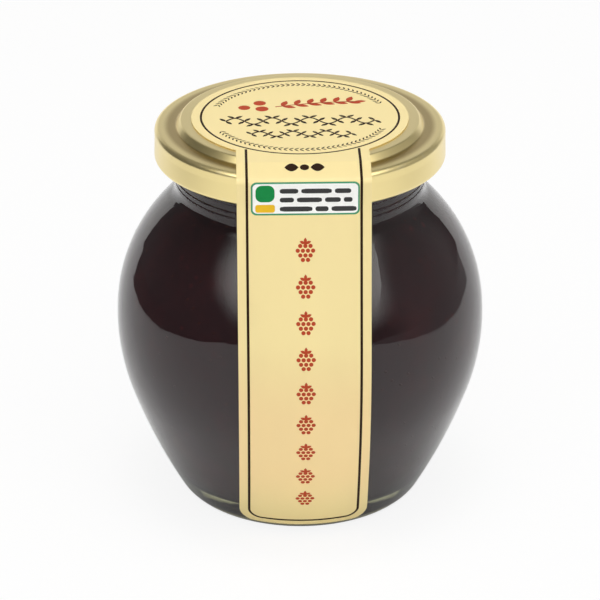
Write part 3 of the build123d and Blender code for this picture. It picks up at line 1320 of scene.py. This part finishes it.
class JAMJAR_OT_strip_print(bpy.types.Operator):
    """Print the berries down the strip and the small mark at its head"""

    bl_idname = "jam_jar.strip_print"
    bl_label = "Strip Print"

    def execute(self, context):
        label = context.scene.jar_label
        self.berries(ink_finish("rust strip ink", label.rust))
        self.head(ink_finish("brown strip ink", label.line))
        return {"FINISHED"}

    def berries(self, ink):
        """Nine berries down the strip, each made of twelve drupelets under three cap leaves."""
        count, first, pitch, middle = 9, 41.3, 6.86, 0.15
        grain, grain_pitch, cap = 0.40 * MM, 0.94, 1.15
        drupelets, caps = [], []
        for number in range(count):
            y = -(first + pitch * number) * MM
            for row, across in ((0.75, 3), (-0.13, 4), (-1.01, 3), (-1.85, 2)):
                for i in range(across):
                    x = (i - (across - 1) / 2) * grain_pitch
                    drupelets.append(((x + middle) * MM, y + row * MM, grain))
            caps += [(middle * MM, y + cap * MM, cap * MM, turn) for turn in (25, 90, 155)]
        printed_dots("print_drupelets", drupelets, ink, sides=14)
        printed_leaves("print_caps", caps, ink, slimness=0.5)

    def head(self, ink):
        """Two leaves on either side of a dot, where the strip begins."""
        y, leaf = -24.4 * MM, 2.6 * MM
        printed_leaves("print_head_leaves", [(1.25 * MM, y, leaf, 0), (-0.95 * MM, y, leaf, 180)],
                       ink, slimness=0.9)
        printed_dots("print_head_dot", [(0.15 * MM, y, 0.85 * MM)], ink, sides=24)


class JAMJAR_OT_stage(bpy.types.Operator):
    """Set the floor, the backdrop, the lights and the camera"""

    bl_idname = "jam_jar.stage"
    bl_label = "Stage"

    def execute(self, context):
        scene = context.scene
        stage = scene.jar_stage
        scene.view_settings.view_transform = "Standard"
        self.floor()
        self.backdrop()
        self.lights(stage)
        self.room(scene, stage)
        self.camera(scene, stage)
        return {"FINISHED"}

    def floor(self):
        """A pale floor: white to the camera and to reflections, with the jar's soft shadow."""
        half = 3.0
        floor = put_in_scene("floor", mesh_from("floor", [
            (-half, -half, 0.0), (half, -half, 0.0), (half, half, 0.0), (-half, half, 0.0)], (),
            [(0, 1, 2, 3)]))
        finish = Finish("pale floor")
        x, y, _ = finish.split(finish.place)
        mirrored = finish.ray("Glossy")
        # Reflections see the floor white to this far on either side of the jar, and dim beyond.
        in_front = finish.math("MAXIMUM", 0.0 - y, 0.0)
        reach = finish.math("MAXIMUM", 0.235 + in_front * 0.7, y + 0.04)
        beyond = finish.between(abs(x) - reach, 0.0, 0.03)
        dim = finish.shader("Emission", Color=finish.blend(
            finish.between(x, 0.0, 0.2), grey(0.10), grey(0.34)))
        # Under the jar, reflections and the glass see the floor lit as it is, in shadow.
        nearby = finish.between(finish.distance(x, y), 0.014, 0.058)
        bounced = (mirrored + finish.ray("Transmission")) * nearby * 0.9
        seen = finish.ray("Camera") * 0.88
        lit = finish.shader("BsdfDiffuse", Color=grey(0.97))
        plain = finish.shader("Emission", Color=grey(1.0))
        shade = finish.mix(seen + bounced, lit, plain)
        floor.data.materials.append(finish.end(finish.mix(mirrored * beyond, shade, dim)))

    def backdrop(self):
        """A pale curved screen behind the jar, narrower at its top, that fades out upwards."""
        radius, low, high, steps = 0.9, 0.002, 0.8, 24
        points, faces = [], []
        for i in range(steps + 1):
            for level in (low, high):
                spread = math.radians(43.0 - 28.0 * min(level, 0.35))
                turn = spread * (2 * i / steps - 1)
                points.append((radius * math.sin(turn), radius * math.cos(turn), level))
        for i in range(steps):
            faces.append((2 * i, 2 * i + 1, 2 * i + 3, 2 * i + 2))
        screen = put_in_scene("backdrop", mesh_from("backdrop", points, (), faces))
        finish = Finish("pale screen")
        _, _, level = finish.split(finish.place)
        self.glow(finish, screen, 1.0 - 0.9 * finish.between(level, 0.20, 0.72), 1.0)

    def glow(self, finish, card, cover, strength):
        """Makes a card shine where cover is 1 and clears it away where cover is 0."""
        light = finish.shader("Emission", Color=(1.0, 0.995, 0.98, 1.0), Strength=strength)
        card.data.materials.append(finish.end(
            finish.mix(cover, finish.shader("BsdfTransparent"), light)))
        card.visible_camera = False

    def round_card(self, name, radius, distance, aside, elevation, solid, strength,
                   boost=1.0, squash=1.0, fall=1.0):
        """A round soft-edged light that faces the jar, its middle fully bright out to solid.

        Aside and elevation are in degrees. Reflections show its two sides brighter by the
        boost. The squash makes it lower than it is wide, and a higher fall draws its light in
        towards the middle.
        """
        steps = 48
        points, faces = [(0.0, 0.0, 0.0)], []
        for i in range(steps):
            turn = 2 * math.pi * i / steps
            points.append((radius * math.cos(turn), radius * squash * math.sin(turn), 0.0))
            faces.append((0, i + 1, (i + 1) % steps + 1))
        card = put_in_scene(name, mesh_from(name, points, (), faces))
        aside, elevation = math.radians(aside), math.radians(elevation)
        away = Vector((math.sin(aside) * math.cos(elevation),
                       -math.cos(aside) * math.cos(elevation), math.sin(elevation)))
        card.matrix_world = (Matrix.Translation(away * distance + Vector((0.0, 0.0, 0.05)))
                             @ (-away).to_track_quat("Z", "Y").to_matrix().to_4x4())
        finish = Finish(name)
        x, y, _ = finish.split(finish.place)
        out = finish.distance(x, y / squash) / radius
        at_sides = finish.ray("Glossy") * finish.between(abs(x), 0.35, 0.70)
        self.glow(finish, card, finish.between(out, 1.0, solid) ** fall,
                  strength * (1.0 + at_sides * (boost - 1.0)))

    def lights(self, stage):
        """A large soft light in front of the jar, one over it and a dim one beside it."""
        self.round_card("key_light", radius=1.62, distance=0.8, aside=10.0, elevation=51.5,
                        solid=0.30, strength=stage.key, boost=2.9, squash=0.71, fall=1.5)
        self.round_card("top_light", radius=0.42, distance=0.9, aside=0.0, elevation=88.0,
                        solid=0.0, strength=stage.top, fall=2.0)
        self.round_card("side_light", radius=0.90, distance=0.9, aside=95.0, elevation=17.0,
                        solid=0.40, strength=stage.side)

    def room(self, scene, stage):
        """A white background for the camera, and even light from a room that mirrors darker."""
        world = bpy.data.worlds.new("room")
        scene.world = world
        world.use_nodes = True
        world.node_tree.nodes.clear()
        nodes = Nodes(world.node_tree)
        walls = nodes.blend(nodes.ray("Glossy"), grey(stage.fill), grey(stage.surround))
        shade = nodes.add("ShaderNodeBackground", None, {
            "Color": nodes.blend(nodes.ray("Camera"), walls, grey(1.0))})
        nodes.add("ShaderNodeOutputWorld", None, {"Surface": shade.outputs[0]})

    def camera(self, scene, stage):
        """A long lens that looks a little down on the jar."""
        camera = bpy.data.cameras.new("camera")
        camera.lens = 180.0
        camera.sensor_width = 36.0
        camera.clip_start = 0.05
        camera.clip_end = 20.0
        holder = put_in_scene("camera", camera)
        away = Vector((0.0, -math.cos(stage.elevation), math.sin(stage.elevation)))
        holder.location = Vector((0.0, 0.0, stage.aim_height)) + away * stage.distance
        holder.rotation_euler = (-away).to_track_quat("-Z", "Y").to_euler()
        scene.camera = holder


OPERATORS = (
    JAMJAR_OT_glass,
    JAMJAR_OT_jam,
    JAMJAR_OT_lid,
    JAMJAR_OT_paper,
    JAMJAR_OT_lines,
    JAMJAR_OT_disc_print,
    JAMJAR_OT_panel_print,
    JAMJAR_OT_strip_print,
    JAMJAR_OT_stage,
)


class JAMJAR_PT_maker(bpy.types.Panel):
    """Lists what makes the jar and the stage"""

    bl_idname = "JAMJAR_PT_maker"
    bl_label = "Jam Jar"
    bl_space_type = "VIEW_3D"
    bl_region_type = "UI"
    bl_category = "Jam Jar"

    def draw(self, context):
        for operator in OPERATORS:
            self.layout.operator(operator.bl_idname)
        for name in GROUPS:
            group = getattr(context.scene, name)
            box = self.layout.box()
            for field in group.__annotations__:
                box.prop(group, field)


def register():
    """Adds the sizes, the operators and the panel to Blender."""
    for name, group in GROUPS.items():
        bpy.utils.register_class(group)
        setattr(bpy.types.Scene, name, PointerProperty(type=group))
    for operator in OPERATORS:
        bpy.utils.register_class(operator)
    bpy.utils.register_class(JAMJAR_PT_maker)


def unregister():
    """Takes them out again."""
    bpy.utils.unregister_class(JAMJAR_PT_maker)
    for operator in reversed(OPERATORS):
        bpy.utils.unregister_class(operator)
    for name, group in GROUPS.items():
        delattr(bpy.types.Scene, name)
        bpy.utils.unregister_class(group)


def main():
    """Makes everything in order."""
    register()
    for operator in OPERATORS:
        section, name = operator.bl_idname.split(".")
        getattr(getattr(bpy.ops, section), name)()
    bpy.data.objects.remove(bpy.data.objects["paper_face"])


if __name__ == "__main__":
    main()
